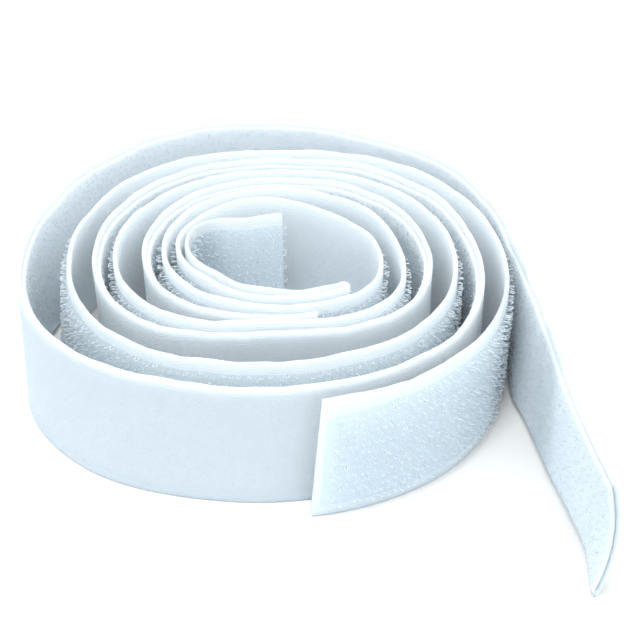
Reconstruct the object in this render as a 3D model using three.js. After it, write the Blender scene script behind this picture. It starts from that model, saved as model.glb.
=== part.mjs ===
// Hook and loop tape roll: a loop tape and a hook tape, wound together loosely and standing on edge.
// Millimetres, +Z up. Every stretch of tape is a woven ground with a pile standing on one face.
import * as THREE from 'three';

// Section of both tapes
const tapeWidth = 25;
const groundThickness = 0.5;
const hookHeight = 0.8;
const loopHeight = 0.8;
const pileSeatGap = 0.3; // between the ground and the pile on it
const selvedgeWidth = 2.3; // plain woven edge beside the pile

// Winding, seen from above, both tapes running inwards anticlockwise
const coreRadius = 20.24; // middle of the loop tape at its inner end, on the even spiral
const snugGap = 0.5; // between two turns that lie against each other
const looseWidth = 4; // free room in one turn of the pair
const loopTurns = 2.8;
const hookTurns = 3.86;
const flapTurns = 0.229; // the hook tape starts this much ahead of the loop tape's tail
const flapHingeTurns = 0.1;
const stepsPerTurn = 36;

// How far each eighth of a turn stands off the even spiral, as shares of the slack
const tableStep = 1 / 8;
const loopSlackShares = [
  0, 0.33, 0.84, 1.52, 1.77, 2.21, 1.49, 1.49,
  0.2, -0.24, -0.66, 0.02, 0.57, 0.93, -0.21, 0.69,
  0.02, -0.44, -0.54, -0.06, 0.37, 0.83, 0.64, 1.34,
];
const hookSlackShares = [
  1.14, 1.12,
  0, -0.57, -1.14, -0.13, 0.3, 1.01, 0.56, 0.64,
  -0.15, -0.72, -1.14, -0.46, 0.35, 0.63, -0.29, 0.52,
  -0.65, -0.92, -0.86, -0.28, 0.2, 0.51, 0.59, 1.29,
  0.4, -0.42, 0.24, 0.94, 1.65, 1.66, 2.01, 2.67,
];
const hookTableStart = -2 * tableStep;

// Dents and bulges of the outer wall between those, at every sixteenth
const fineStep = 1 / 16;
const wallShares = [0, -0.06, 0, -0.22, 0, 0.2, 0, -0.2, 0, 0.14, 0, -0.18, 0, 0, 0];

// The hook tape's inner end folds back on itself and lines the hole, clear of its last turn by these shares
const returnSlackShares = [0.1, 0.1, 0.1, 0.1, 0.12, 0.2, 0.3, 0.17, 0.1, 0.16, 1.22, 1.38, 1.15, 0.9];
const returnStart = 4; // the table above counts back from this turn
const returnTurns = 0.62; // from the fold to the end
const coreHingeTurns = 0.17; // free stretch at that end
const foldSteps = 6;

// The loop tape's tail runs off the roll almost straight
const tailLength = 65;
const tailFlareWidth = 7.2; // how far its end stands out from the roll's side
const tailWaveWidth = 0.5;
const tailHingeLength = 12; // where it comes free of the roll
const tipHingeLength = 38.5;
const tailSteps = 20;

// Cuts
const cutGap = 0.3; // between the faces of neighbouring stretches
const pileReliefWidth = 0.5; // the pile stops short of such a cut
const flapSlantWidth = 2; // the hook tape's outer end is cut askew, shorter at the top
const samplingLength = 0.5;

const hookThickness = groundThickness + pileSeatGap + hookHeight;
const loopThickness = groundThickness + pileSeatGap + loopHeight;
const meanThickness = (hookThickness + loopThickness) / 2;
const turnPitch = hookThickness + loopThickness + 2 * snugGap + looseWidth;
const outerRadius = coreRadius + turnPitch * loopTurns;
const hookRadius = outerRadius - meanThickness - snugGap;

const groundCloth = { color: 0xe8f2f8, roughness: 0.75, metalness: 0 };
const loopPile = { color: 0xe6f0f6, roughness: 0.95, metalness: 0 };
const hookPile = { color: 0xe9f2f6, roughness: 0.45, metalness: 0 };

// Smooth curve through a table of shares, read by turn
function shareCurve(shares, firstTurn, step) {
  const knots = shares.map((share, i) => new THREE.Vector2(firstTurn + i * step, share));
  const curve = new THREE.SplineCurve(knots);
  const span = step * (shares.length - 1);
  return (turn) => curve.getPoint((turn - firstTurn) / span).y;
}

const loopSlack = shareCurve(loopSlackShares, 0, tableStep);
const hookSlack = shareCurve(hookSlackShares, hookTableStart, tableStep);
const returnSlack = shareCurve(returnSlackShares, 0, fineStep);
const wallDent = shareCurve(wallShares, 0, fineStep);

function polar(radius, turn) {
  const angle = 2 * Math.PI * turn;
  return new THREE.Vector2(radius * Math.cos(angle), radius * Math.sin(angle));
}

function loopPoint(turn) {
  const dent = turn < fineStep * (wallShares.length - 1) ? wallDent(turn) : 0;
  return polar(outerRadius - turnPitch * turn + looseWidth * (loopSlack(turn) + dent), turn);
}

function hookRadiusAt(turn) {
  return hookRadius - turnPitch * turn + looseWidth * hookSlack(turn);
}

function returnPoint(turn) {
  const clearance = hookThickness + snugGap + looseWidth * returnSlack(returnStart - turn);
  return polar(hookRadiusAt(turn) - clearance, turn);
}

// Points of a curve from one parameter to another, both ends kept
function sample(point, from, to, steps) {
  return Array.from({ length: steps + 1 }, (_, i) => point(from + ((to - from) * i) / steps));
}

function sampleTurns(point, from, to) {
  return sample(point, from, to, Math.ceil(Math.abs(to - from) * stepsPerTurn));
}

function tailPoint(run) {
  const share = run / tailLength;
  const out = tailFlareWidth * share + tailWaveWidth * Math.sin(2 * Math.PI * share);
  return new THREE.Vector2(outerRadius + out, -run);
}

// Half circle that turns the hook tape back inside itself
function foldPoints() {
  const outer = polar(hookRadiusAt(hookTurns), hookTurns);
  const inner = returnPoint(hookTurns);
  const centre = outer.clone().add(inner).divideScalar(2);
  const arm = outer.clone().sub(centre);
  return sample((angle) => arm.clone().rotateAround(new THREE.Vector2(), angle).add(centre),
    0, Math.PI, foldSteps).slice(1, -1);
}

// Shortens a line of points by a length at its start and at its end
function trimStart(points, length) {
  const kept = points.slice();
  let left = length;
  while (kept.length > 2 && kept[0].distanceTo(kept[1]) <= left) {
    left -= kept[0].distanceTo(kept[1]);
    kept.shift();
  }
  kept[0] = kept[0].clone().lerp(kept[1], left / kept[0].distanceTo(kept[1]));
  return kept;
}

function trimmed(points, start, end) {
  return trimStart(trimStart(points, start).reverse(), end).reverse();
}

function sideways(points, i) {
  const before = points[Math.max(i - 1, 0)];
  const after = points[Math.min(i + 1, points.length - 1)];
  const along = after.clone().sub(before).normalize();
  return { along, left: new THREE.Vector2(-along.y, along.x) };
}

// Closed band between two offsets to the left of the path and two heights
function band(points, near, far, low, high, slant = 0) {
  const corners = [];
  points.forEach((point, i) => {
    const { along, left } = sideways(points, i);
    const lean = i === 0 ? slant : 0;
    for (const [offset, height, shift] of [[near, low, 0], [far, low, 0], [far, high, lean], [near, high, lean]]) {
      const corner = point.clone().addScaledVector(left, offset).addScaledVector(along, shift);
      corners.push(corner.x, corner.y, height);
    }
  });
  const faces = [0, 3, 2, 0, 2, 1];
  for (let ring = 0; ring < points.length - 1; ring += 1) {
    for (let side = 0; side < 4; side += 1) {
      const a = 4 * ring + side;
      const b = 4 * ring + ((side + 1) % 4);
      faces.push(a, b, b + 4, a, b + 4, a + 4);
    }
  }
  const last = 4 * (points.length - 1);
  faces.push(last, last + 1, last + 2, last, last + 2, last + 3);
  const geometry = new THREE.BufferGeometry();
  geometry.setAttribute('position', new THREE.Float32BufferAttribute(corners, 3));
  geometry.setIndex(faces);
  geometry.computeVertexNormals();
  return geometry;
}

function piece(name, geometry, look) {
  const mesh = new THREE.Mesh(geometry, new THREE.MeshStandardMaterial(look));
  mesh.name = name;
  return mesh;
}

// One stretch of tape: its ground, and its pile to the left or right of the path
function stretch(points, ends, tape, names) {
  const half = tape.thickness / 2;
  const ground = trimmed(points, ends.start ? cutGap / 2 : 0, ends.end ? cutGap / 2 : 0);
  const relief = cutGap / 2 + pileReliefWidth;
  const pile = trimmed(points, ends.start ? relief : 0, ends.end ? relief : 0);
  const edges = { ground: [-half, groundThickness - half], pile: [half - tape.pileHeight, half] };
  const place = ([near, far]) => (tape.pileSide > 0 ? [near, far] : [-far, -near]);
  const slant = ends.slant ?? 0;
  const pileLow = selvedgeWidth;
  const pileHigh = tapeWidth - selvedgeWidth;
  const slantFrom = (height) => (slant * height) / tapeWidth;
  const pileStart = trimmed(pile, slantFrom(pileLow), 0);
  return [
    piece(names[0], band(ground, ...place(edges.ground), 0, tapeWidth, slant), groundCloth),
    piece(names[1], band(slant > 0 ? pileStart : pile, ...place(edges.pile), pileLow, pileHigh,
      slantFrom(pileHigh - pileLow)), tape.pileLook),
  ];
}

// The hinge line between two stretches stands in the middle of the ground
function hingeAt(points, i, tape) {
  const { left } = sideways(points, i);
  const offset = (groundThickness - tape.thickness) / 2;
  return points[i].clone().addScaledVector(left, offset * tape.pileSide);
}

const loopTape = { thickness: loopThickness, pileHeight: loopHeight, pileSide: 1, pileLook: loopPile };
const hookTape = { thickness: hookThickness, pileHeight: hookHeight, pileSide: -1, pileLook: hookPile };

// The loop tape, from the tip of its tail inwards
const tip = sample(tailPoint, tailLength, tipHingeLength, tailSteps / 2);
const tail = sample(tailPoint, tipHingeLength, tailHingeLength, tailSteps / 2);
const root = sample(tailPoint, tailHingeLength, 0, tailSteps / 4);
const loopCoil = [...root.slice(0, -1), ...sampleTurns(loopPoint, 0, loopTurns)];
const loopPath = [...tip.slice(0, -1), ...tail.slice(0, -1), ...loopCoil];

// The hook tape, from its outer end inwards
const hookPoint = (turn) => polar(hookRadiusAt(turn), turn);
const flap = sampleTurns(hookPoint, -flapTurns, -flapHingeTurns);
const winding = sampleTurns(hookPoint, -flapHingeTurns, hookTurns);
const coreEnd = hookTurns - returnTurns;
const lining = sampleTurns(returnPoint, hookTurns, coreEnd + coreHingeTurns);
const core = sampleTurns(returnPoint, coreEnd + coreHingeTurns, coreEnd);
const hookCoil = [...winding, ...foldPoints(), ...lining];
const hookPath = [...flap.slice(0, -1), ...hookCoil, ...core.slice(1)];

const pieces = [
  ...stretch(loopCoil, { start: true }, loopTape, ['loop_tape_ground', 'loop_tape_pile']),
  ...stretch(tail, { start: true, end: true }, loopTape, ['loop_tail_ground', 'loop_tail_pile']),
  ...stretch(tip, { end: true }, loopTape, ['loop_tip_ground', 'loop_tip_pile']),
  ...stretch(hookCoil, { start: true, end: true }, hookTape, ['hook_tape_ground', 'hook_tape_hooks']),
  ...stretch(flap, { end: true, slant: flapSlantWidth }, hookTape, ['hook_flap_ground', 'hook_flap_hooks']),
  ...stretch(core, { start: true }, hookTape, ['hook_core_ground', 'hook_core_hooks']),
];

// The roll stands on its lower edge, with the middle of its outline over the origin
const standing = new THREE.Group();
standing.add(...pieces);
const extent = new THREE.Box3().setFromObject(standing, true);
const middle = extent.getCenter(new THREE.Vector3());
standing.position.set(-middle.x, -middle.y, 0);
const roll = new THREE.Group();
roll.add(standing);

// Points at an even spacing along a path, with the run to each
function evenly(points) {
  const result = [];
  let run = 0;
  for (let i = 1; i < points.length; i += 1) {
    const length = points[i - 1].distanceTo(points[i]);
    const count = Math.max(1, Math.round(length / samplingLength));
    for (let j = 0; j < count; j += 1) {
      result.push({ at: points[i - 1].clone().lerp(points[i], j / count), run: run + (length * j) / count });
    }
    run += length;
  }
  return { marks: result, length: run };
}

// Least distance between two paths, or between stretches of one path that aren't neighbours
function leastDistance(a, b, apart) {
  let least = Infinity;
  for (const p of a.marks) {
    for (const q of b.marks) {
      if (Math.abs(p.run - q.run) >= apart) least = Math.min(least, p.at.distanceTo(q.at));
    }
  }
  return least;
}

const loopRun = evenly(loopPath);
const hookRun = evenly(hookPath);
const report = (name, value) => console.log(`${name} ${value.toFixed(2)} mm`);
const where = (name, point) => console.log(`${name} x ${(point.x - middle.x).toFixed(3)} y ${(point.y - middle.y).toFixed(3)} mm`);
report('loop tape length', loopRun.length);
report('hook tape length', hookRun.length);
report('loop tape to itself, least gap', leastDistance(loopRun, loopRun, 3 * loopThickness) - loopThickness);
report('hook tape to itself, least gap', leastDistance(hookRun, hookRun, 3 * hookThickness) - hookThickness);
report('loop tape to hook tape, least gap', leastDistance(loopRun, hookRun, 0) - meanThickness);
where('tail hinge', hingeAt(loopPath, tip.length + tail.length - 2, loopTape));
where('tip hinge', hingeAt(loopPath, tip.length - 1, loopTape));
where('flap hinge', hingeAt(hookPath, flap.length - 1, hookTape));
where('core hinge', hingeAt(hookPath, flap.length - 1 + hookCoil.length - 1, hookTape));
where('roll axis', new THREE.Vector2());

export default roll;
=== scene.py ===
import math
import bmesh
import bpy
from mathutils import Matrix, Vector
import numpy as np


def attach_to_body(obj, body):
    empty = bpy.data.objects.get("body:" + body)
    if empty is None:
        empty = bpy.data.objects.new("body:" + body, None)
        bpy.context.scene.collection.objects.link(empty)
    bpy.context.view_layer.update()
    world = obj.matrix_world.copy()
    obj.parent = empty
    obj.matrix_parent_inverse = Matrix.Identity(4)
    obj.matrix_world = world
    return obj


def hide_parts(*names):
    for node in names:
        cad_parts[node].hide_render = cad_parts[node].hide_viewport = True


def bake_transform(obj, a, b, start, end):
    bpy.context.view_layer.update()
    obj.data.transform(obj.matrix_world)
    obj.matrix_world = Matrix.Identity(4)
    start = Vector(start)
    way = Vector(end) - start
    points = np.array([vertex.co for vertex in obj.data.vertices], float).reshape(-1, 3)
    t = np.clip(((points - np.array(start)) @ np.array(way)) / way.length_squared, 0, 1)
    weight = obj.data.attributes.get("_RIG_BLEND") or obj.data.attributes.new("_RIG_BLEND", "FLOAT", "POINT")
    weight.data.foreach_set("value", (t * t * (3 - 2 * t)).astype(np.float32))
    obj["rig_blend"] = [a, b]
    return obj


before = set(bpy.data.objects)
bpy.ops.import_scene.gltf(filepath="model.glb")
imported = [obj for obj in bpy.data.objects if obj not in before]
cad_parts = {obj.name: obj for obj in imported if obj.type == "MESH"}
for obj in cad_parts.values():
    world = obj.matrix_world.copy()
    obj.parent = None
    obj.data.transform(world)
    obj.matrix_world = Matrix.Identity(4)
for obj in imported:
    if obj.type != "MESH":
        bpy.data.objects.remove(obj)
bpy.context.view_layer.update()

mm = 0.001


# camera, floor and light

view = {
    "place": (5.65 * mm, -200.94 * mm, 160.3 * mm),
    "tilt": 36.1,  # degrees below level
    "lens": 75.94,
    "nearest": 10 * mm,
}
light = {
    "tint": "#e6f3fc",
    "sky": 1.12,
    "aim": (0, 0, 10 * mm),
    # the key lamp is nearly overhead, so it reaches down between the turns
    "key": {"size": 160 * mm, "energy": 1.6, "place": (-20 * mm, -110 * mm, 600 * mm)},
    "front": {"size": 1000 * mm, "energy": 0.95, "place": (20 * mm, -320 * mm, 560 * mm)},
}
floor = {
    "size": 3.0,
    "bounce": "#e6eaee",
    "shown": "#f6ece4",  # a shade that the lamps lift to white
    "beyond": "#ffffff",
}


def linear(hexColour):
    parts = [int(hexColour[i:i + 2], 16) / 255 for i in (1, 3, 5)]
    return tuple(c / 12.92 if c <= 0.04045 else ((c + 0.055) / 1.055) ** 2.4 for c in parts) + (1.0,)


def addNode(tree, kind, inputs=None, **settings):
    node = tree.nodes.new(kind)
    for name, value in settings.items():
        setattr(node, name, value)
    for key, value in (inputs or {}).items():
        if isinstance(value, bpy.types.NodeSocket):
            tree.links.new(value, node.inputs[key])
        else:
            node.inputs[key].default_value = value
    return node


def newMaterial(name):
    material = bpy.data.materials.new(name)
    material.use_nodes = True
    material.node_tree.nodes.clear()
    return material, material.node_tree


def makeStage():
    camera = bpy.data.objects.new("camera", bpy.data.cameras.new("camera"))
    camera.data.lens = view["lens"]
    camera.data.clip_start = view["nearest"]
    camera.location = view["place"]
    camera.rotation_euler = (math.radians(90 - view["tilt"]), 0, 0)
    bpy.context.scene.collection.objects.link(camera)
    bpy.context.scene.camera = camera
    for name in ("key", "front"):
        lamp = bpy.data.objects.new(name + "Light", bpy.data.lights.new(name + "Light", "AREA"))
        lamp.data.size = light[name]["size"]
        lamp.data.energy = light[name]["energy"]
        lamp.data.color = linear(light["tint"])[:3]
        lamp.location = light[name]["place"]
        aim = Vector(light["aim"]) - lamp.location
        lamp.rotation_euler = aim.to_track_quat("-Z", "Y").to_euler()
        bpy.context.scene.collection.objects.link(lamp)
    world = bpy.data.worlds.new("studio")
    bpy.context.scene.world = world
    world.use_nodes = True
    tree = world.node_tree
    tree.nodes.clear()
    path = addNode(tree, "ShaderNodeLightPath").outputs
    seen = path["Is Camera Ray"]
    for kind in ("Is Glossy Ray", "Is Transmission Ray"):
        seen = addNode(tree, "ShaderNodeMath", {0: seen, 1: path[kind]}, operation="MAXIMUM").outputs[0]
    soft = addNode(tree, "ShaderNodeBackground", {"Color": linear(light["tint"]), "Strength": light["sky"]})
    plain = addNode(tree, "ShaderNodeBackground", {"Color": linear(floor["beyond"]), "Strength": 1.0})
    mixed = addNode(tree, "ShaderNodeMixShader", {0: seen, 1: soft.outputs[0], 2: plain.outputs[0]})
    addNode(tree, "ShaderNodeOutputWorld", {0: mixed.outputs[0]})

    half = floor["size"] / 2
    corners = [(-half, -half, 0), (half, -half, 0), (half, half, 0), (-half, half, 0)]
    mesh = bpy.data.meshes.new("floor")
    mesh.from_pydata(corners, [], [(0, 1, 2, 3)])
    board = bpy.data.objects.new("floor", mesh)
    bpy.context.scene.collection.objects.link(board)
    material, tree = newMaterial("paintedBoard")  # matt, with no shine of its own
    path = addNode(tree, "ShaderNodeLightPath").outputs
    matt = addNode(tree, "ShaderNodeBsdfDiffuse", {"Color": linear(floor["bounce"])})
    shown = addNode(tree, "ShaderNodeBsdfDiffuse", {"Color": linear(floor["shown"])})
    mixed = addNode(tree, "ShaderNodeMixShader", {
        0: path["Is Camera Ray"], 1: matt.outputs[0], 2: shown.outputs[0]})
    addNode(tree, "ShaderNodeOutputMaterial", {0: mixed.outputs[0]})
    mesh.materials.append(material)


bpy.context.scene.view_settings.view_transform = "Standard"
makeStage()
print("stage ready")


# the winding, seen from above, in both tapes' own sizes

tape = {
    "width": 25 * mm,
    "ground": 0.5 * mm,
    "seat": 0.3 * mm,  # between the ground and the pile
    "pile": 0.8 * mm,
    "selvedge": 2.3 * mm,
}
tape["thickness"] = tape["ground"] + tape["seat"] + tape["pile"]
roll = {
    "axis": (-2.113 * mm, 9.842 * mm),  # where the winding's middle lies
    "coreRadius": 20.24 * mm,
    "snugGap": 0.5 * mm,
    "looseWidth": 4 * mm,
    "loopTurns": 2.8,
    "dentTurns": 14 / 16,  # the outer wall's own dents end here
    "hookTurns": 3.86,
    "flapTurns": 0.229,
    "returnTurns": 0.62,
    "returnFrom": 4,  # the folded end's shares are counted back from this turn
    "tailLength": 65 * mm,
    "tailFlare": 7.2 * mm,
    "tailWave": 0.5 * mm,
    "stepLength": 0.9 * mm,
}
roll["pitch"] = 2 * tape["thickness"] + 2 * roll["snugGap"] + roll["looseWidth"]
roll["outerRadius"] = roll["coreRadius"] + roll["pitch"] * roll["loopTurns"]
roll["hookRadius"] = roll["outerRadius"] - tape["thickness"] - roll["snugGap"]

# how far each eighth of a turn stands off the even spiral, in shares of looseWidth
loopShares = [
    0, 0.33, 0.84, 1.52, 1.77, 2.21, 1.49, 1.49,
    0.2, -0.24, -0.66, 0.02, 0.57, 0.93, -0.21, 0.69,
    0.02, -0.44, -0.54, -0.06, 0.37, 0.83, 0.64, 1.34,
]
hookShares = [
    1.14, 1.12,
    0, -0.57, -1.14, -0.13, 0.3, 1.01, 0.56, 0.64,
    -0.15, -0.72, -1.14, -0.46, 0.35, 0.63, -0.29, 0.52,
    -0.65, -0.92, -0.86, -0.28, 0.2, 0.51, 0.59, 1.29,
    0.4, -0.42, 0.24, 0.94, 1.65, 1.66, 2.01, 2.67,
]
# and the outer wall's dents and the folded end's clearance, each sixteenth of a turn
wallShares = [0, -0.06, 0, -0.22, 0, 0.2, 0, -0.2, 0, 0.14, 0, -0.18, 0, 0, 0]
returnShares = [0.1, 0.1, 0.1, 0.1, 0.12, 0.2, 0.3, 0.17, 0.1, 0.16, 1.22, 1.38, 1.15, 0.9]

# how many points are read off each curve, before they are spaced evenly
samples = {"tail": 130, "loopTurns": 1400, "hookTurns": 2000, "fold": 24, "return": 300}


def curveThrough(values, first, step):
    def at(turn):
        spot = (turn - first) / step
        i = min(max(math.floor(spot), 0), len(values) - 2)
        t = spot - i
        a, b, c, d = (values[min(max(j, 0), len(values) - 1)] for j in (i - 1, i, i + 1, i + 2))
        u, v = (c - a) / 2, (d - b) / 2
        return (2 * b - 2 * c + u + v) * t ** 3 + (3 * c - 3 * b - 2 * u - v) * t ** 2 + u * t + b
    return at


loopShare = curveThrough(loopShares, 0, 1 / 8)
hookShare = curveThrough(hookShares, -1 / 4, 1 / 8)
wallShare = curveThrough(wallShares, 0, 1 / 16)
returnShare = curveThrough(returnShares, 0, 1 / 16)


def polar(radius, turn):
    angle = 2 * math.pi * turn
    return Vector((roll["axis"][0] + radius * math.cos(angle), roll["axis"][1] + radius * math.sin(angle)))


def turnOf(point):
    across = point - Vector(roll["axis"])
    return math.atan2(across.y, across.x) / (2 * math.pi) % 1


def loopPoint(turn):
    dent = wallShare(turn) if turn < roll["dentTurns"] else 0
    loose = roll["looseWidth"] * (loopShare(turn) + dent)
    return polar(roll["outerRadius"] - roll["pitch"] * turn + loose, turn)


def hookRadius(turn):
    return roll["hookRadius"] - roll["pitch"] * turn + roll["looseWidth"] * hookShare(turn)


def hookPoint(turn):
    return polar(hookRadius(turn), turn)


def returnPoint(turn):
    loose = roll["looseWidth"] * returnShare(roll["returnFrom"] - turn)
    clear = tape["thickness"] + roll["snugGap"] + loose
    return polar(hookRadius(turn) - clear, turn)


def tailPoint(distance):
    share = distance / roll["tailLength"]
    out = roll["tailFlare"] * share + roll["tailWave"] * math.sin(2 * math.pi * share)
    return polar(roll["outerRadius"] + out, 0) + Vector((0, -distance))


def sample(point, start, end, count):
    return [point(start + (end - start) * i / count) for i in range(count + 1)]


def evenly(points, step):
    runs = [0]
    for a, b in zip(points, points[1:]):
        runs.append(runs[-1] + (b - a).length)
    count = round(runs[-1] / step)
    result, i = [], 0
    for k in range(count + 1):
        run = runs[-1] * k / count
        while i < len(runs) - 2 and runs[i + 1] < run:
            i += 1
        share = (run - runs[i]) / (runs[i + 1] - runs[i])
        result.append(points[i].lerp(points[i + 1], min(share, 1)))
    return result, runs[-1]


def loopPath():
    tail = sample(tailPoint, roll["tailLength"], 0, samples["tail"])
    winding = sample(loopPoint, 0, roll["loopTurns"], samples["loopTurns"])
    return evenly(tail[:-1] + winding, roll["stepLength"])


def hookPath():
    turns = roll["hookTurns"]
    winding = sample(hookPoint, -roll["flapTurns"], turns, samples["hookTurns"])
    outer, inner = winding[-1], returnPoint(turns)
    middle = (outer + inner) / 2
    arm = outer - middle

    def foldPoint(angle):
        c, s = math.cos(angle), math.sin(angle)
        return middle + Vector((arm.x * c - arm.y * s, arm.x * s + arm.y * c))
    fold = sample(foldPoint, 0, math.pi, samples["fold"])[1:-1]
    folded = sample(returnPoint, turns, turns - roll["returnTurns"], samples["return"])
    return evenly(winding + fold + folded, roll["stepLength"])


loopPoints, loopLength = loopPath()
hookPoints, hookLength = hookPath()
print(f"loop tape {loopLength:.3f} m, hook tape {hookLength:.3f} m")


# how each tape sags: sideways and upward drift, carried by points along its path

sag = {
    # mm outwards at the tail's lower edge, each tailLeanStep from the roll
    "tailLean": [0, -0.5, -1.5, -0.5, 0.3, 1.2, 2.2, 2.3, 0.3, -0.3],
    "tailLeanStep": 8 * mm,
    "tipBelly": 2 * mm,  # the tail bulges at half its height near the outer end
    "tipBellyPlace": 66 * mm,
    "tipBellyReach": 20 * mm,
    # mm outwards at the outer wall's lower edge, each sixteenth of a turn
    "wallLean": [0, 0, 0, 0, 0, 0, -0.4, -1.6, 0.1, 1.4, 1, 0.3, 0, 0, 0, 0, 0],
    "wallRun": 6,  # the outer wall's share of the loop tape, in outer radii
    "backFlare": 2.4 * mm,  # the outer wall's upper edge stands out at the back
    "backFlareTurn": 0.29,
    "backFlareReach": 0.29,
    "innerLean": 3.4 * mm,  # the turn inside it leans after it on one side
    "innerLeanTurn": 0.49,
    "innerLeanReach": 0.16,
    "innerRun": 5.4,  # that turn's share of the hook tape, in outer radii
    "flapSlant": 2 * mm,
    "flapSlantRun": 12 * mm,
    "seamReach": 9 * mm,  # near a parting the cloth spreads less light inside itself
    "sway": 0.16 * mm,
    "swayLength": 34 * mm,
    "ripple": 0.5 * mm,  # unevenness of the upper edge
    "rippleLength": 11 * mm,
    "swing": 4,  # a noise runs about a quarter either way, so this makes it a whole
}
driftNames = ("lean", "flare", "belly", "slant")
tailLean = curveThrough([value * mm for value in sag["tailLean"]], 0, sag["tailLeanStep"])
wallLean = curveThrough([value * mm for value in sag["wallLean"]], 0, 1 / 16)


def bump(value, middle, reach):
    share = abs(value - middle) / reach
    return (1 + math.cos(math.pi * share)) / 2 if share < 1 else 0


def loopDrift(point, run):
    tailRun = roll["tailLength"] - run
    if tailRun > 0:
        belly = bump(tailRun, sag["tipBellyPlace"], sag["tipBellyReach"])
        return {"lean": -tailLean(tailRun), "belly": -sag["tipBelly"] * belly}
    turn = turnOf(point)
    outer = 1 if run < roll["tailLength"] + sag["wallRun"] * roll["outerRadius"] else 0
    flare = bump(turn, sag["backFlareTurn"], sag["backFlareReach"])
    return {"lean": -wallLean(turn) * outer, "flare": -sag["backFlare"] * flare * outer}


def hookDrift(point, run):
    outer = 1 if run < sag["innerRun"] * roll["outerRadius"] else 0
    lean = bump(turnOf(point), sag["innerLeanTurn"], sag["innerLeanReach"])
    return {
        "slant": sag["flapSlant"] * max(1 - run / sag["flapSlantRun"], 0),
        "lean": -sag["innerLean"] * lean * outer,
    }


def layPath(name, points, drift, seams):
    mesh = bpy.data.meshes.new(name)
    middle = tape["width"] / 2
    edges = [(i, i + 1) for i in range(len(points) - 1)]
    mesh.from_pydata([(p.x, p.y, middle) for p in points], edges, [])
    values = {key: [] for key in ("run", *driftNames, "seam")}
    sides, alongs = [], []
    run = 0
    for i, point in enumerate(points):
        along = (points[min(i + 1, len(points) - 1)] - points[max(i - 1, 0)]).normalized()
        if i:
            run += (point - points[i - 1]).length
        alongs += [along.x, along.y, 0]
        sides += [-along.y, along.x, 0]
        nearest = max(bump(run, seam, sag["seamReach"]) for seam in seams)
        here = {"run": run, "seam": nearest, **drift(point, run)}
        for key, row in values.items():
            row.append(here.get(key, 0))
    for key, row in values.items():
        mesh.attributes.new(key, "FLOAT", "POINT").data.foreach_set("value", row)
    mesh.attributes.new("side", "FLOAT_VECTOR", "POINT").data.foreach_set("vector", sides)
    mesh.attributes.new("along", "FLOAT_VECTOR", "POINT").data.foreach_set("vector", alongs)
    return mesh


# geometry nodes: a draped band, and rows of hooks or loops

def startTree(name, sockets):
    tree = bpy.data.node_groups.new(name, "GeometryNodeTree")
    tree.interface.new_socket("Geometry", in_out="OUTPUT", socket_type="NodeSocketGeometry")
    for label, kind in [("Geometry", "Geometry"), *sockets]:
        tree.interface.new_socket(label, in_out="INPUT", socket_type="NodeSocket" + kind)
    return tree, addNode(tree, "NodeGroupInput").outputs


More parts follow.
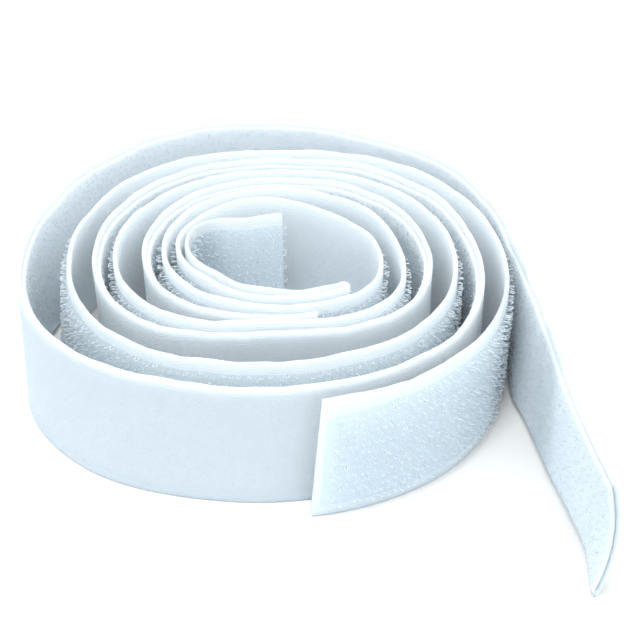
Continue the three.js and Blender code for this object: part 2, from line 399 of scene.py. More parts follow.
def drapeTree():
    tree, given = startTree("drape", [("Seed", "Float")])
    named = {}
    for key in ("run", *driftNames):
        named[key] = addNode(tree, "GeometryNodeInputNamedAttribute", {"Name": key}).outputs[0]
    for key in ("side", "along"):
        named[key] = addNode(tree, "GeometryNodeInputNamedAttribute", {"Name": key},
                             data_type="FLOAT_VECTOR").outputs[0]
    place = addNode(tree, "GeometryNodeInputPosition").outputs[0]
    place = addNode(tree, "ShaderNodeSeparateXYZ", {0: place}).outputs
    height = addNode(tree, "ShaderNodeMath", {0: place[2], 1: tape["width"]}, operation="DIVIDE").outputs[0]
    below = addNode(tree, "ShaderNodeMath", {0: 1.0, 1: height}, operation="SUBTRACT").outputs[0]
    crown = addNode(tree, "ShaderNodeMath", {0: height, 1: below}, operation="MULTIPLY").outputs[0]
    crown = addNode(tree, "ShaderNodeMath", {0: crown, 1: 4.0}, operation="MULTIPLY").outputs[0]

    waves = {}
    for key, up, detail in (("sway", height, 1.0), ("ripple", 0.0, 3.0)):
        spot = addNode(tree, "ShaderNodeMath", {0: named["run"], 1: sag[key + "Length"]},
                       operation="DIVIDE").outputs[0]
        spot = addNode(tree, "ShaderNodeCombineXYZ", {0: spot, 1: up, 2: given["Seed"]}).outputs[0]
        wave = addNode(tree, "ShaderNodeTexNoise", {
            "Vector": spot, "Scale": 1.0, "Detail": detail}).outputs[0]
        waves[key] = addNode(tree, "ShaderNodeMath", {0: wave, 1: 0.5}, operation="SUBTRACT").outputs[0]

    # across the tape: the lean grows downwards, the flare upwards, and the belly is widest halfway
    shift = addNode(tree, "ShaderNodeMath", {0: waves["sway"], 1: sag["swing"] * sag["sway"]},
                    operation="MULTIPLY").outputs[0]
    for key, amount in (("lean", below), ("flare", height), ("belly", crown)):
        shift = addNode(tree, "ShaderNodeMath", {0: named[key], 1: amount, 2: shift},
                        operation="MULTIPLY_ADD").outputs[0]
    sideways = addNode(tree, "ShaderNodeVectorMath", {0: named["side"], "Scale": shift},
                       operation="SCALE").outputs[0]
    # along it: the slanting cut of the outer end
    cut = addNode(tree, "ShaderNodeMath", {0: named["slant"], 1: height}, operation="MULTIPLY").outputs[0]
    forward = addNode(tree, "ShaderNodeVectorMath", {0: named["along"], "Scale": cut},
                      operation="SCALE").outputs[0]
    # upwards: the uneven upper edge
    rise = addNode(tree, "ShaderNodeMath", {0: waves["ripple"], 1: height}, operation="MULTIPLY").outputs[0]
    rise = addNode(tree, "ShaderNodeMath", {0: rise, 1: sag["swing"] * sag["ripple"]},
                   operation="MULTIPLY").outputs[0]
    upward = addNode(tree, "ShaderNodeCombineXYZ", {2: rise}).outputs[0]
    moved = addNode(tree, "ShaderNodeVectorMath", {0: sideways, 1: forward}, operation="ADD").outputs[0]
    moved = addNode(tree, "ShaderNodeVectorMath", {0: moved, 1: upward}, operation="ADD").outputs[0]
    shaped = addNode(tree, "GeometryNodeSetPosition", {"Geometry": given["Geometry"], "Offset": moved})
    addNode(tree, "NodeGroupOutput", {0: shaped.outputs[0]})
    return tree


def bandTree(drape):
    tree, given = startTree("tape band", [
        ("Width", "Float"), ("Thickness", "Float"), ("Sideways", "Float"), ("Columns", "Int"),
        ("Seed", "Float"), ("Material", "Material")])
    path = addNode(tree, "GeometryNodeMeshToCurve", {0: given["Geometry"]})
    side = addNode(tree, "GeometryNodeInputNamedAttribute", {"Name": "side"}, data_type="FLOAT_VECTOR")
    path = addNode(tree, "GeometryNodeSetCurveNormal", {0: path.outputs[0], "Normal": side.outputs[0]},
                   mode="FREE")
    section = addNode(tree, "GeometryNodeCurvePrimitiveQuadrilateral", {
        "Width": given["Thickness"], "Height": given["Width"]})
    section = addNode(tree, "GeometryNodeSubdivideCurve", {0: section.outputs[0], "Cuts": given["Columns"]})

    # the selvedges are rounded over the tape's thickness
    spot = addNode(tree, "GeometryNodeInputPosition").outputs[0]
    spot = addNode(tree, "ShaderNodeSeparateXYZ", {0: spot}).outputs
    radius = addNode(tree, "ShaderNodeMath", {0: given["Thickness"], 1: 0.5}, operation="MULTIPLY").outputs[0]
    flat = addNode(tree, "ShaderNodeMath", {0: given["Width"], 1: 0.5}, operation="MULTIPLY").outputs[0]
    flat = addNode(tree, "ShaderNodeMath", {0: flat, 1: radius}, operation="SUBTRACT").outputs[0]
    outward = addNode(tree, "ShaderNodeMath", {0: spot[1]}, operation="SIGN").outputs[0]
    reach = addNode(tree, "ShaderNodeMath", {0: spot[1]}, operation="ABSOLUTE").outputs[0]
    edge = addNode(tree, "ShaderNodeMath", {0: reach, 1: flat}, operation="GREATER_THAN").outputs[0]
    share = addNode(tree, "ShaderNodeMath", {0: spot[0], 1: radius}, operation="DIVIDE").outputs[0]
    arch = addNode(tree, "ShaderNodeMath", {0: share, 1: 2.0}, operation="POWER").outputs[0]
    arch = addNode(tree, "ShaderNodeMath", {0: 1.0, 1: arch}, operation="SUBTRACT", use_clamp=True).outputs[0]
    arch = addNode(tree, "ShaderNodeMath", {0: arch}, operation="SQRT").outputs[0]
    arch = addNode(tree, "ShaderNodeMath", {0: arch, 1: radius, 2: flat}, operation="MULTIPLY_ADD").outputs[0]
    arch = addNode(tree, "ShaderNodeMath", {0: arch, 1: outward}, operation="MULTIPLY").outputs[0]
    across = addNode(tree, "ShaderNodeMath", {0: spot[0], 1: given["Sideways"]}, operation="ADD").outputs[0]
    upright = addNode(tree, "GeometryNodeSwitch", {"Switch": edge, "False": spot[1], "True": arch},
                      input_type="FLOAT").outputs[0]
    place = addNode(tree, "ShaderNodeCombineXYZ", {0: across, 1: upright}).outputs[0]
    section = addNode(tree, "GeometryNodeStoreNamedAttribute", {
        0: section.outputs[0], "Name": "face", "Value": share}, data_type="FLOAT", domain="POINT")
    section = addNode(tree, "GeometryNodeSetPosition", {"Geometry": section.outputs[0], "Position": place})

    band = addNode(tree, "GeometryNodeCurveToMesh", {
        "Curve": path.outputs[0], "Profile Curve": section.outputs[0], "Fill Caps": True})
    where = addNode(tree, "GeometryNodeInputPosition").outputs[0]
    where = addNode(tree, "ShaderNodeSeparateXYZ", {0: where}).outputs
    run = addNode(tree, "GeometryNodeInputNamedAttribute", {"Name": "run"}).outputs[0]
    laidFlat = addNode(tree, "ShaderNodeCombineXYZ", {0: run, 1: where[2]}).outputs[0]
    band = addNode(tree, "GeometryNodeStoreNamedAttribute", {
        0: band.outputs[0], "Name": "UVMap", "Value": laidFlat}, data_type="FLOAT2", domain="CORNER")
    band = addNode(tree, "GeometryNodeGroup", node_tree=drape, inputs={0: band.outputs[0], 1: given["Seed"]})
    band = addNode(tree, "GeometryNodeSetShadeSmooth", {0: band.outputs[0]})
    band = addNode(tree, "GeometryNodeRealizeInstances", {0: band.outputs[0]})
    band = addNode(tree, "GeometryNodeSetMaterial", {0: band.outputs[0], "Material": given["Material"]})
    addNode(tree, "NodeGroupOutput", {0: band.outputs[0]})
    return tree


# what chance gives each stem, with a fixed seed for each draw
chance = {
    "placeSeed": 3,
    "twistSeed": 7,
    "tip": 0.16, "tipSeed": 9,  # radians either way
    "size": (0.86, 1.08), "sizeSeed": 11,
    "toneSeed": 5,
}


def pileTree(drape):
    tree, given = startTree("pile rows", [
        ("Pitch Along", "Float"), ("Pitch Across", "Float"), ("Zone", "Float"), ("Sideways", "Float"),
        ("Outwards", "Float"), ("Height", "Float"), ("Wire", "Float"), ("Wire Sides", "Int"),
        ("Steps", "Int"), ("Rise", "Vector"), ("Fall", "Vector"), ("End", "Vector"), ("Jitter", "Float"),
        ("Twist", "Float"), ("Hem", "Float"), ("Wedge", "Float"), ("Wedge Length", "Float"),
        ("Top", "Float"), ("Seed", "Float"), ("Material", "Material")])
    path = addNode(tree, "GeometryNodeMeshToCurve", {0: given["Geometry"]})
    path = addNode(tree, "GeometryNodeResampleCurve", {0: path.outputs[0], "Length": given["Pitch Along"]},
                   mode="LENGTH")
    side, along = (addNode(tree, "GeometryNodeInputNamedAttribute", {"Name": key},
                           data_type="FLOAT_VECTOR").outputs[0] for key in ("side", "along"))
    path = addNode(tree, "GeometryNodeSetCurveNormal", {0: path.outputs[0], "Normal": side}, mode="FREE")
    half = addNode(tree, "ShaderNodeMath", {0: given["Zone"], 1: 0.5}, operation="MULTIPLY").outputs[0]
    low = addNode(tree, "ShaderNodeMath", {0: half, 1: -1.0}, operation="MULTIPLY").outputs[0]
    start = addNode(tree, "ShaderNodeCombineXYZ", {0: given["Sideways"], 1: low}).outputs[0]
    end = addNode(tree, "ShaderNodeCombineXYZ", {0: given["Sideways"], 1: half}).outputs[0]
    line = addNode(tree, "GeometryNodeCurvePrimitiveLine", {0: start, 1: end})
    count = addNode(tree, "ShaderNodeMath", {0: given["Zone"], 1: given["Pitch Across"]},
                    operation="DIVIDE").outputs[0]
    count = addNode(tree, "ShaderNodeMath", {0: count, 1: 1.0}, operation="ADD").outputs[0]
    line = addNode(tree, "GeometryNodeResampleCurve", {0: line.outputs[0], "Count": count}, mode="COUNT")
    grid = addNode(tree, "GeometryNodeCurveToMesh", {
        "Curve": path.outputs[0], "Profile Curve": line.outputs[0]})

    # every other row stands half a pitch on and faces the other way
    index = addNode(tree, "GeometryNodeInputIndex").outputs[0]
    whole = addNode(tree, "ShaderNodeMath", {0: count}, operation="FLOOR").outputs[0]
    column = addNode(tree, "ShaderNodeMath", {0: index, 1: whole}, operation="MODULO").outputs[0]
    odd = addNode(tree, "ShaderNodeMath", {0: column, 1: 2.0}, operation="MODULO").outputs[0]
    odd = addNode(tree, "ShaderNodeMath", {0: odd, 1: 0.5}, operation="GREATER_THAN").outputs[0]
    stagger = addNode(tree, "ShaderNodeMath", {0: given["Pitch Along"], 1: odd},
                      operation="MULTIPLY").outputs[0]
    stagger = addNode(tree, "ShaderNodeMath", {0: stagger, 1: 0.5}, operation="MULTIPLY").outputs[0]
    offset = addNode(tree, "ShaderNodeVectorMath", {0: along, "Scale": stagger}, operation="SCALE").outputs[0]

    # and each stem a little off its place, along the tape and up or down
    loose = addNode(tree, "FunctionNodeRandomValue", {
        0: (-1, -1, -1), 1: (1, 1, 1), "Seed": chance["placeSeed"]}, data_type="FLOAT_VECTOR").outputs[0]
    loose = addNode(tree, "ShaderNodeSeparateXYZ", {0: loose}).outputs
    spread = addNode(tree, "ShaderNodeMath", {0: loose[0], 1: given["Jitter"]},
                     operation="MULTIPLY").outputs[0]
    climb = addNode(tree, "ShaderNodeMath", {0: loose[2], 1: given["Jitter"]},
                    operation="MULTIPLY").outputs[0]
    spread = addNode(tree, "ShaderNodeVectorMath", {0: along, "Scale": spread}, operation="SCALE").outputs[0]
    climb = addNode(tree, "ShaderNodeCombineXYZ", {2: climb}).outputs[0]
    for more in (spread, climb):
        offset = addNode(tree, "ShaderNodeVectorMath", {0: offset, 1: more}, operation="ADD").outputs[0]
    grid = addNode(tree, "GeometryNodeSetPosition", {"Geometry": grid.outputs[0], "Offset": offset})
    grid = addNode(tree, "GeometryNodeGroup", node_tree=drape, inputs={0: grid.outputs[0], 1: given["Seed"]})

    # one stem: a thin wire along a bend, turned to stand on the tape's face
    stem = addNode(tree, "GeometryNodeCurvePrimitiveBezierSegment", {
        "Resolution": given["Steps"], "Start": (0, 0, 0), "Start Handle": given["Rise"],
        "End Handle": given["Fall"], "End": given["End"]})
    wire = addNode(tree, "GeometryNodeCurvePrimitiveCircle", {
        "Resolution": given["Wire Sides"], "Radius": given["Wire"]})
    stem = addNode(tree, "GeometryNodeCurveToMesh", {
        "Curve": stem.outputs[0], "Profile Curve": wire.outputs[0], "Fill Caps": True})
    stem = addNode(tree, "GeometryNodeSetShadeSmooth", {0: stem.outputs[0]})
    face = addNode(tree, "ShaderNodeVectorMath", {0: side, "Scale": given["Outwards"]},
                   operation="SCALE").outputs[0]
    turn = addNode(tree, "FunctionNodeAxesToRotation", {0: face, 1: along},
                   primary_axis="Z", secondary_axis="X")
    flip = addNode(tree, "ShaderNodeMath", {0: odd, 1: math.pi}, operation="MULTIPLY").outputs[0]
    twist = addNode(tree, "FunctionNodeRandomValue", {
        2: -1.0, 3: 1.0, "Seed": chance["twistSeed"]}).outputs[1]
    twist = addNode(tree, "ShaderNodeMath", {0: twist, 1: given["Twist"], 2: flip},
                    operation="MULTIPLY_ADD").outputs[0]
    tip = addNode(tree, "FunctionNodeRandomValue", {
        2: -chance["tip"], 3: chance["tip"], "Seed": chance["tipSeed"]}).outputs[1]
    spin = addNode(tree, "ShaderNodeCombineXYZ", {0: tip, 2: twist}).outputs[0]
    spin = addNode(tree, "FunctionNodeEulerToRotation", {0: spin})
    turn = addNode(tree, "FunctionNodeRotateRotation", {0: turn.outputs[0], 1: spin.outputs[0]},
                   rotation_space="LOCAL")
    size = addNode(tree, "FunctionNodeRandomValue", {
        2: chance["size"][0], 3: chance["size"][1], "Seed": chance["sizeSeed"]}).outputs[1]
    size = addNode(tree, "ShaderNodeMath", {0: size, 1: given["Height"]}, operation="MULTIPLY").outputs[0]

    # bare hem at the outer end, and a wedge without pile along the top of it
    run = addNode(tree, "GeometryNodeInputNamedAttribute", {"Name": "run"}).outputs[0]
    beyond = addNode(tree, "ShaderNodeMath", {0: run, 1: given["Hem"]}, operation="GREATER_THAN").outputs[0]
    root = addNode(tree, "GeometryNodeInputPosition").outputs[0]
    root = addNode(tree, "ShaderNodeSeparateXYZ", {0: root}).outputs
    fade = addNode(tree, "ShaderNodeMath", {0: run, 1: given["Wedge Length"]}, operation="DIVIDE").outputs[0]
    fade = addNode(tree, "ShaderNodeMath", {0: 1.0, 1: fade}, operation="SUBTRACT", use_clamp=True).outputs[0]
    brim = addNode(tree, "ShaderNodeMath", {0: fade, 1: given["Wedge"]}, operation="MULTIPLY").outputs[0]
    brim = addNode(tree, "ShaderNodeMath", {0: given["Top"], 1: brim}, operation="SUBTRACT").outputs[0]
    under = addNode(tree, "ShaderNodeMath", {0: root[2], 1: brim}, operation="LESS_THAN").outputs[0]
    kept = addNode(tree, "ShaderNodeMath", {0: beyond, 1: under}, operation="MULTIPLY").outputs[0]
    pile = addNode(tree, "GeometryNodeInstanceOnPoints", {
        "Points": grid.outputs[0], "Selection": kept, "Instance": stem.outputs[0],
        "Rotation": turn.outputs[0], "Scale": size})
    tone = addNode(tree, "FunctionNodeRandomValue", {2: 0.0, 3: 1.0, "Seed": chance["toneSeed"]}).outputs[1]
    pile = addNode(tree, "GeometryNodeStoreNamedAttribute", {
        0: pile.outputs[0], "Name": "tone", "Value": tone}, data_type="FLOAT", domain="INSTANCE")
    pile = addNode(tree, "GeometryNodeRealizeInstances", {0: pile.outputs[0]})
    pile = addNode(tree, "GeometryNodeSetMaterial", {0: pile.outputs[0], "Material": given["Material"]})
    addNode(tree, "NodeGroupOutput", {0: pile.outputs[0]})
    return tree


def grow(name, path, tree, values):
    source = bpy.data.objects.new(name, path)
    bpy.context.scene.collection.objects.link(source)
    modifier = source.modifiers.new(name, "NODES")
    modifier.node_group = tree
    for item in tree.interface.items_tree:
        if item.in_out == "INPUT" and item.name in values:
            modifier[item.identifier] = values[item.name]
    seen = source.evaluated_get(bpy.context.evaluated_depsgraph_get())
    mesh = bpy.data.meshes.new_from_object(seen)
    bpy.data.objects.remove(source)
    return mesh


# one tape is made whole and then parted where its bodies meet, so that its stretches match
def part(mesh, name, start, end):
    work = bmesh.new()
    work.from_mesh(mesh)
    run = work.verts.layers.float["run"]
    away = [f for f in work.faces if not start <= sum(v[run] for v in f.verts) / len(f.verts) < end]
    bmesh.ops.delete(work, geom=away, context="FACES")
    caps = bmesh.ops.holes_fill(work, edges=[e for e in work.edges if e.is_boundary], sides=0)["faces"]
    for cap in caps:
        cap.smooth = False
        for edge in cap.edges:
            edge.smooth = False
    piece = bpy.data.meshes.new(name)
    work.to_mesh(piece)
    work.free()
    for key in (*driftNames, "side", "along", "run"):
        if key in piece.attributes:
            piece.attributes.remove(piece.attributes[key])
    for material in mesh.materials:
        piece.materials.append(material)
    made = bpy.data.objects.new(name, piece)
    bpy.context.scene.collection.objects.link(made)
    return made


# sizes of the ground and the pile, in the trees' own input names
# foot is how far one stands over the ground's face, margin how far its rows reach over the selvedges

ground = {"Width": tape["width"], "Thickness": 0.85 * mm, "Columns": 6}
felt = {"Width": tape["width"] - 2.4 * mm, "Thickness": 0.75 * mm, "Columns": 6, "foot": 0.3 * mm}
loops = {
    "Pitch Along": 1.15 * mm, "Pitch Across": 1.1 * mm, "Height": 0.7 * mm,
    "Wire": 0.1, "Wire Sides": 3, "Steps": 5,  # the wire and the bends are shares of the height
    "Rise": (-0.5, 0.2, 1.5), "Fall": (0.9, -0.3, 1.5), "End": (0.55, 0.1, 0),
    "Jitter": 0.42 * mm, "Twist": math.pi, "Hem": 0.5 * mm, "Wedge": 0.0, "Wedge Length": 1 * mm,
    "Top": tape["width"] - 1.6 * mm,
    "foot": 0.2 * mm,
    "margin": 0.4 * mm,
}
hooks = {
    "Pitch Along": 1.3 * mm, "Pitch Across": 1.5 * mm, "Height": 1.08 * mm,
    "Wire": 0.1, "Wire Sides": 3, "Steps": 5,
    "Rise": (-0.1, 0, 1.35), "Fall": (0.75, 0, 1.25), "End": (0.5, 0, 0.5),
    "Jitter": 0.3 * mm, "Twist": 0.7, "Hem": 1.4 * mm, "Wedge": 2.6 * mm, "Wedge Length": 22 * mm,
    "Top": tape["width"] - 1.6 * mm,
    "foot": -0.06 * mm,
    "margin": -0.6 * mm,
}


# materials: white nylon throughout, as it is woven, brushed or left as single wires

nylon = {
    "ior": 1.53,
    "through": 0.5,  # share of the light that passes straight through at a parting
}
# nylon webbing: matt and close, warp and weft just felt as a fine grain, with ribs along both selvedges
webbing = {
    "colour": "#fdfefe",
    "shade": "#f9fcfd",
    "spread": 3.5 * mm,  # white nylon this thin spreads and passes much of the light
    "seam": "#cfd1d2",  # painted shade: halfway to a parting the colour is darkened towards this, to take back light that shows too bright there
    "grain": 0.75 * mm,  # real threads lie about 0.35 mm apart, too fine for the picture
    "rib": 0.55 * mm,
    "ribFade": 0.2 * mm,
    "fibre": 0.5 * mm,
    "fibreShare": 1.6,
    "relief": 0.05 * mm,
    "reliefStrength": 0.55,
    "cloud": 9 * mm,
    "cloudRange": (0.35, 0.65),
    "grainShade": 0.12,
    "roughness": (0.62, 0.82),
    "sheen": 0.12,
    "sheenRoughness": 0.5,
    "hookShadeFace": (-0.3, -0.8),  # the painted shade under the hooks fades in from here to here through the thickness, where 1 and -1 are the faces
    "hemFade": 0.4 * mm,
    "wedgeFade": 0.3 * mm,
}
# brushed multifilament loops: a soft dull nap that takes light from every side
nap = {
    "colour": "#fcfdfd",
    "shade": "#f5f9fb",
    "spread": 1.2 * mm,
    # painted shade: halfway to a parting the loops' colour is darkened towards this seam colour
    "seam": "#f4f6f7",
    "cloud": 3.5 * mm,
    "toneShare": 0.5,
    "fuzz": 0.4 * mm,
    "relief": 0.1 * mm,
    "reliefStrength": 0.5,
    "roughness": 0.9,
    "sheen": 0.2,
    "sheenRoughness": 0.6,
}
# nylon monofilament hooks: clear stiff wire; a share of the heads is painted white as a highlight, as if they
# caught the light, and the rest stay greyer
monofilament = {
    "colour": "#f6fafc",
    "foot": "#eef4f6",
    "hookShade": "#e2eaef",  # painted shade: the ground under the hooks is coloured towards this darker grey, where shade falls among them
    "paintedGlint": "#ffffff",
    "bright": 0.2,  # share of the hooks painted white as a highlight
    "brightFade": 0.04,
    "roughness": (0.3, 0.12),
    "spread": 0.5 * mm,
}


# nylon spreads light inside itself, but a parting cuts that off, so towards one light goes straight through;
# halfway there the colour takes painted shade
def letThrough(tree, surface, tint, fibre):
    seam = addNode(tree, "ShaderNodeAttribute", attribute_name="seam").outputs["Fac"]
    inner = addNode(tree, "ShaderNodeMath", {0: 1.0, 1: seam}, operation="SUBTRACT").outputs[0]
    reach = addNode(tree, "ShaderNodeMath", {0: inner, 1: fibre["spread"]}, operation="MULTIPLY").outputs[0]
    # painted shade: halfway to a parting, where spread and let-through light add up, the colour is darkened
    # towards the seam colour
    paintedSeamShade = addNode(tree, "ShaderNodeMath", {0: inner, 1: seam}, operation="MULTIPLY").outputs[0]
    tint = addNode(tree, "ShaderNodeMix", {0: paintedSeamShade, 6: tint, 7: linear(fibre["seam"])},
                   data_type="RGBA").outputs[2]
    tree.links.new(tint, surface.inputs["Base Color"])
    tree.links.new(reach, surface.inputs["Subsurface Scale"])
    surface.inputs["Subsurface Weight"].default_value = 1
    surface.inputs["Subsurface Radius"].default_value = (1, 1, 1)
    behind = addNode(tree, "ShaderNodeBsdfTranslucent", {"Color": tint})
    share = addNode(tree, "ShaderNodeMath", {0: seam, 1: nylon["through"]}, operation="MULTIPLY").outputs[0]
    both = addNode(tree, "ShaderNodeMixShader", {0: share, 1: surface.outputs[0], 2: behind.outputs[0]})
    addNode(tree, "ShaderNodeOutputMaterial", {0: both.outputs[0]})


def wovenNylon(name, hookShaded):
    material, tree = newMaterial(name)
    laidFlat = addNode(tree, "ShaderNodeUVMap", uv_map="UVMap").outputs[0]
    run, height, _ = addNode(tree, "ShaderNodeSeparateXYZ", {0: laidFlat}).outputs
    body = addNode(tree, "ShaderNodeTexCoord").outputs["Object"]

    waves = []
    for value, length in ((run, webbing["grain"]), (height, webbing["grain"]), (height, webbing["rib"])):
        wave = addNode(tree, "ShaderNodeMath", {0: value, 1: 2 * math.pi / length}, operation="MULTIPLY")
        waves.append(addNode(tree, "ShaderNodeMath", {0: wave.outputs[0]}, operation="SINE").outputs[0])
    warp, weft, rib = waves
    weave = addNode(tree, "ShaderNodeMath", {0: warp, 1: weft}, operation="MULTIPLY").outputs[0]
    fromMiddle = addNode(tree, "ShaderNodeMath", {0: height, 1: tape["width"] / 2},
                         operation="SUBTRACT").outputs[0]
    fromMiddle = addNode(tree, "ShaderNodeMath", {0: fromMiddle}, operation="ABSOLUTE").outputs[0]
    inside = tape["width"] / 2 - tape["selvedge"]
    border = addNode(tree, "ShaderNodeMapRange", {
        0: fromMiddle, 1: inside - webbing["ribFade"], 2: inside}).outputs[0]
    relief = addNode(tree, "ShaderNodeMix", {0: border, 2: weave, 3: rib}).outputs[0]
    fibre = addNode(tree, "ShaderNodeTexNoise", {
        "Vector": body, "Scale": 1 / webbing["fibre"], "Detail": 2.0}).outputs[0]
    relief = addNode(tree, "ShaderNodeMath", {0: fibre, 1: webbing["fibreShare"], 2: relief},
                     operation="MULTIPLY_ADD").outputs[0]
    bumped = addNode(tree, "ShaderNodeBump", {
        "Strength": webbing["reliefStrength"], "Distance": webbing["relief"], "Height": relief})
    cloud = addNode(tree, "ShaderNodeTexNoise", {
        "Vector": body, "Scale": 1 / webbing["cloud"], "Detail": 3.0}).outputs[0]
    cloud = addNode(tree, "ShaderNodeMapRange", {
        0: cloud, 1: webbing["cloudRange"][0], 2: webbing["cloudRange"][1]}).outputs[0]
    grain = addNode(tree, "ShaderNodeMath", {0: relief, 1: webbing["grainShade"], 2: cloud},
                    operation="MULTIPLY_ADD").outputs[0]
    tint = addNode(tree, "ShaderNodeMix", {
        0: grain, 6: linear(webbing["shade"]), 7: linear(webbing["colour"])}, data_type="RGBA").outputs[2]

    if hookShaded:  # painted shade: between the selvedges the side the hooks stand on is coloured greyer, as shade under the hooks
        face = addNode(tree, "ShaderNodeAttribute", attribute_name="face").outputs["Fac"]
        hookShade = addNode(tree, "ShaderNodeMapRange", {
            0: face, 1: webbing["hookShadeFace"][0], 2: webbing["hookShadeFace"][1]}).outputs[0]
        hookShade = addNode(tree, "ShaderNodeMapRange", {0: border, 3: hookShade, 4: 0.0}).outputs[0]
        past = addNode(tree, "ShaderNodeMapRange", {
            0: run, 1: hooks["Hem"] - webbing["hemFade"], 2: hooks["Hem"]}).outputs[0]
        rest = addNode(tree, "ShaderNodeMapRange", {
            0: run, 1: hooks["Wedge Length"], 2: 0.0,
            3: hooks["Top"], 4: hooks["Top"] - hooks["Wedge"]}).outputs[0]
        rest = addNode(tree, "ShaderNodeMath", {0: rest, 1: height}, operation="SUBTRACT").outputs[0]
        rest = addNode(tree, "ShaderNodeMapRange", {
            0: rest, 1: -webbing["wedgeFade"], 2: webbing["wedgeFade"]}).outputs[0]
        for limit in (past, rest):
            hookShade = addNode(tree, "ShaderNodeMath", {0: hookShade, 1: limit}, operation="MULTIPLY").outputs[0]
        tint = addNode(tree, "ShaderNodeMix", {0: hookShade, 6: tint, 7: linear(monofilament["hookShade"])},
                       data_type="RGBA").outputs[2]
    dull = addNode(tree, "ShaderNodeMapRange", {
        0: fibre, 3: webbing["roughness"][0], 4: webbing["roughness"][1]}).outputs[0]
    cloth = addNode(tree, "ShaderNodeBsdfPrincipled", {
        "Roughness": dull, "Normal": bumped.outputs[0], "IOR": nylon["ior"],
        "Sheen Weight": webbing["sheen"], "Sheen Roughness": webbing["sheenRoughness"]})
    letThrough(tree, cloth, tint, webbing)
    return material


def brushedNylon():
    material, tree = newMaterial("brushedNylonLoops")
    body = addNode(tree, "ShaderNodeTexCoord").outputs["Object"]
    tone = addNode(tree, "ShaderNodeAttribute", attribute_name="tone").outputs["Fac"]
    cloud = addNode(tree, "ShaderNodeTexNoise", {
        "Vector": body, "Scale": 1 / nap["cloud"], "Detail": 3.0}).outputs[0]
    blend = addNode(tree, "ShaderNodeMath", {0: tone, 1: nap["toneShare"], 2: cloud},
                    operation="MULTIPLY_ADD", use_clamp=True).outputs[0]
    tint = addNode(tree, "ShaderNodeMix", {
        0: blend, 6: linear(nap["shade"]), 7: linear(nap["colour"])}, data_type="RGBA").outputs[2]
    fuzz = addNode(tree, "ShaderNodeTexNoise", {
        "Vector": body, "Scale": 1 / nap["fuzz"], "Detail": 2.0}).outputs[0]
    bumped = addNode(tree, "ShaderNodeBump", {
        "Strength": nap["reliefStrength"], "Distance": nap["relief"], "Height": fuzz})
    brushed = addNode(tree, "ShaderNodeBsdfPrincipled", {
        "Roughness": nap["roughness"], "Normal": bumped.outputs[0], "IOR": nylon["ior"],
        "Sheen Weight": nap["sheen"], "Sheen Roughness": nap["sheenRoughness"]})
    letThrough(tree, brushed, tint, nap)
    return material


def hookNylon():
    material, tree = newMaterial("nylonMonofilament")
    tone = addNode(tree, "ShaderNodeAttribute", attribute_name="tone").outputs["Fac"]
    # painted highlight: the hooks whose tone passes dim are coloured white, as if catching the light
    dim = 1 - monofilament["bright"]
    lit = addNode(tree, "ShaderNodeMapRange", {
        0: tone, 1: dim, 2: dim + monofilament["brightFade"]}).outputs[0]
    plain = addNode(tree, "ShaderNodeMix", {
        0: tone, 6: linear(monofilament["foot"]), 7: linear(monofilament["colour"])},
        data_type="RGBA").outputs[2]
    tint = addNode(tree, "ShaderNodeMix", {0: lit, 6: plain, 7: linear(monofilament["paintedGlint"])},
                   data_type="RGBA").outputs[2]
    gloss = addNode(tree, "ShaderNodeMapRange", {
        0: tone, 3: monofilament["roughness"][0], 4: monofilament["roughness"][1]}).outputs[0]
    clear = addNode(tree, "ShaderNodeBsdfPrincipled", {
        "Base Color": tint, "Roughness": gloss, "IOR": nylon["ior"], "Subsurface Weight": 1.0,
        "Subsurface Radius": (1, 1, 1), "Subsurface Scale": monofilament["spread"]})
    addNode(tree, "ShaderNodeOutputMaterial", {0: clear.outputs[0]})
    return material


webbed = wovenNylon("wovenNylon", False)
hookShaded = wovenNylon("wovenNylonHookSide", True)
fluff = brushedNylon()
wire = hookNylon()
print("materials ready")


# both tapes: ground and pile in their own trees, made whole, then parted between bodies

drape = drapeTree()
band = bandTree(drape)
rows = pileTree(drape)


def weaveTape(name, points, drift, seams, pileSide, seed):
    looped = name == "loopTape"
    path = layPath(name + "Path", points, drift, seams)
    back = -pileSide * (tape["thickness"] - ground["Thickness"]) / 2
    face = back + pileSide * ground["Thickness"] / 2
    made = {"Ground": grow(name, path, band, {
        **ground, "Sideways": back, "Seed": seed, "Material": webbed if looped else hookShaded})}
    if looped:
        made["Felt"] = grow(name + "Felt", path, band, {
            **felt, "Sideways": face + pileSide * felt["foot"], "Seed": seed, "Material": fluff})
    stems = loops if looped else hooks
    made["Pile"] = grow(name + "Pile", path, rows, {
        **stems, "Sideways": face + pileSide * stems["foot"],
        "Zone": tape["width"] - 2 * tape["selvedge"] + stems["margin"],
        "Outwards": float(pileSide), "Seed": seed, "Material": fluff if looped else wire})
    print(name, {key: len(mesh.polygons) for key, mesh in made.items()})
    return made


# where the bodies part: run from each tape's outer end, or the turn it lies at
parting = {
    "tip": 33.5 * mm,
    "tail": 60.5 * mm,
    "flapTurn": -0.065,
    "flapWithin": 100 * mm,
    "coreTurn": roll["hookTurns"] - 0.39,
    "coreWithin": 80 * mm,  # from the inner end
}
# each joint's line, how far the bend reaches on either side of it,
# and two turns beside it that give the tape's direction there
innerEnd = roll["hookTurns"] - roll["returnTurns"]
bends = {
    "tip": {"place": (45.626 * mm, -28.620 * mm), "reach": 6 * mm},
    "tail": {"place": (43.420 * mm, -2.088 * mm), "reach": 6.5 * mm},
    "flap": {"place": (34.413 * mm, -16.794 * mm), "reach": 6 * mm, "turns": (-0.12, -0.08)},
    "core": {"place": (-13.402 * mm, 17.478 * mm), "reach": 3 * mm,
             "turns": (innerEnd + 0.16, innerEnd + 0.18)},
}


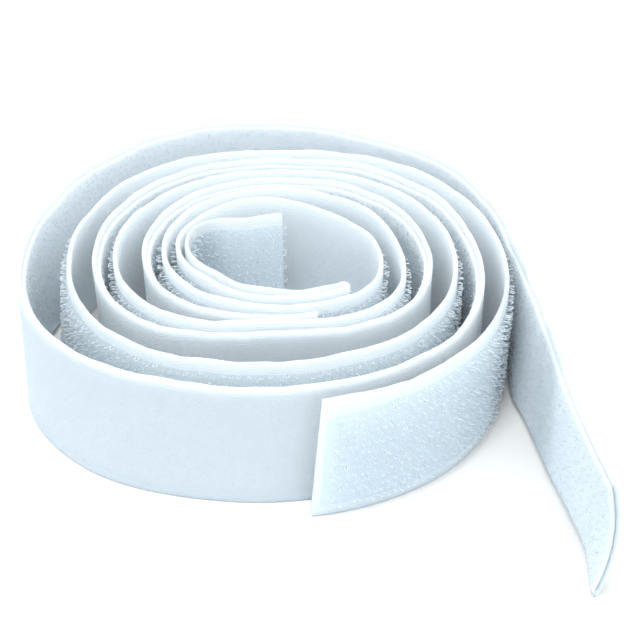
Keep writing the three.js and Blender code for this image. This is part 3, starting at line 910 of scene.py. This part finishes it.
def runAt(points, place, within):
    run, best = 0, (math.inf, 0)
    for a, b in zip(points, points[1:]):
        best = min(best, ((a - place).length, run))
        run += (b - a).length
        if run > within:
            break
    return best[1]


def between(bend, way):
    way = way.normalized() * bend["reach"]
    x, y = bend["place"]
    return [(x + sign * way.x, y + sign * way.y, tape["width"] / 2) for sign in (-1, 1)]


flapSeam = runAt(hookPoints, hookPoint(parting["flapTurn"]), parting["flapWithin"])
coreSeam = hookLength - runAt(hookPoints[::-1], returnPoint(parting["coreTurn"]), parting["coreWithin"])
loopSeams = (parting["tip"], parting["tail"])
loopTape = weaveTape("loopTape", loopPoints, loopDrift, loopSeams, pileSide=1, seed=4.0)
hookTape = weaveTape("hookTape", hookPoints, hookDrift, (flapSeam, coreSeam), pileSide=-1, seed=9.0)

tailWay = Vector((0, -1))
flapWay = hookPoint(bends["flap"]["turns"][0]) - hookPoint(bends["flap"]["turns"][1])
coreWay = returnPoint(bends["core"]["turns"][0]) - returnPoint(bends["core"]["turns"][1])

# name, tape, first and last run, node, the bodies it rides or bends between, and the bend
stretches = [
    ("loopTapeEnd", loopTape, 0, parting["tip"], "loop_tip",
     ("loop_tail", "loop_tip"), between(bends["tip"], tailWay)),
    ("loopTapeBend", loopTape, parting["tip"], parting["tail"], "loop_tail",
     ("loop_coil", "loop_tail"), between(bends["tail"], tailWay)),
    ("loopTapeRoll", loopTape, parting["tail"], math.inf, "loop_tape", ("loop_coil",), None),
    ("hookTapeFlap", hookTape, 0, flapSeam, "hook_flap",
     ("hook_coil", "hook_flap"), between(bends["flap"], flapWay)),
    ("hookTapeRoll", hookTape, flapSeam, coreSeam, "hook_tape", ("hook_coil",), None),
    ("hookTapeCoreEnd", hookTape, coreSeam, math.inf, "hook_core",
     ("hook_coil", "hook_core"), between(bends["core"], coreWay)),
]


def attach(piece, node, bodies, bend):
    if bend:
        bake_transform(piece, *bodies, start=bend[0], end=bend[1])
    else:
        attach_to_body(piece, bodies[0])
    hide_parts(node)
    return piece


for name, woven, start, end, node, bodies, bend in stretches:
    looped = woven is loopTape
    pileNode = node + ("_pile" if looped else "_hooks")
    length = min(end, loopLength if looped else hookLength) - start
    if looped:
        felted = part(woven["Felt"], name + "Nap", start, end)
        attach(felted, pileNode, bodies, bend)
    # the pile of a roll is cut in two, to keep each piece small
    cuts = [start, end] if bend else [start, start + length / 2, end]
    for i in range(len(cuts) - 1):
        label = name + ("Loops" if looped else "Hooks") + ("" if bend else str(i + 1))
        stems = part(woven["Pile"], label, cuts[i], cuts[i + 1])
        attach(stems, pileNode, bodies, bend)
    base = attach(part(woven["Ground"], name, start, end), node + "_ground", bodies, bend)
